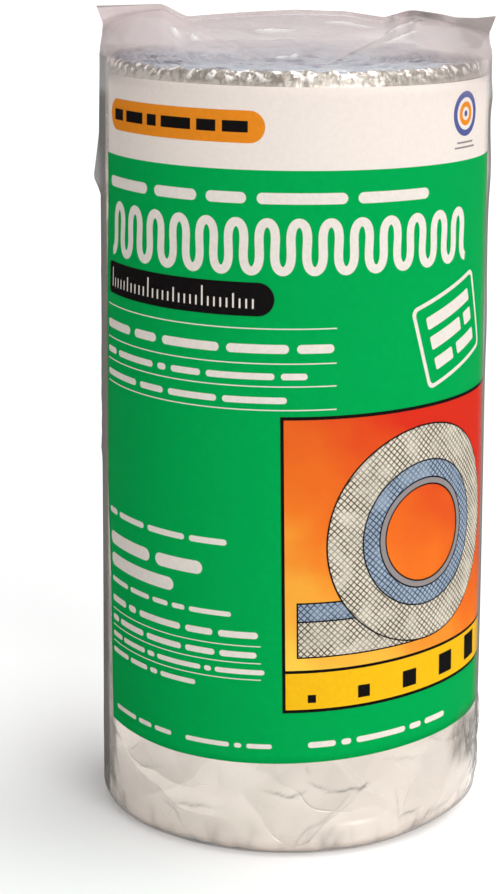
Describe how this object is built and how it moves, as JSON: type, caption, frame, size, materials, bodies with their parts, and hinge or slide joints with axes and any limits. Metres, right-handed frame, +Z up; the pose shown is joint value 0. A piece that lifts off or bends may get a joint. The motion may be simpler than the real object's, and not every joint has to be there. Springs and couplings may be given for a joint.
{
  "type": "insulation roll",
  "caption": "Standing roll of foil-faced cotton insulation blanket, packed in a clear film bag with a printed paper label round its front.",
  "frame": {"origin": "middle of the base that the roll stands on, in its film", "axes": "+Z up along the axis of the roll, -Y towards the front that shows the label, +X to the right of that front"},
  "size_m": [0.1554, 0.1528, 0.3242],
  "materials": {
    "cotton": "matte",
    "foil": "satin",
    "label": "gloss",
    "film": "gloss"
  },
  "bodies": {
    "root": {"cotton_roll": "cotton", "foil_facing": "foil", "label_sheet": "label", "film_bag": "film"}
  },
  "joints": []
}
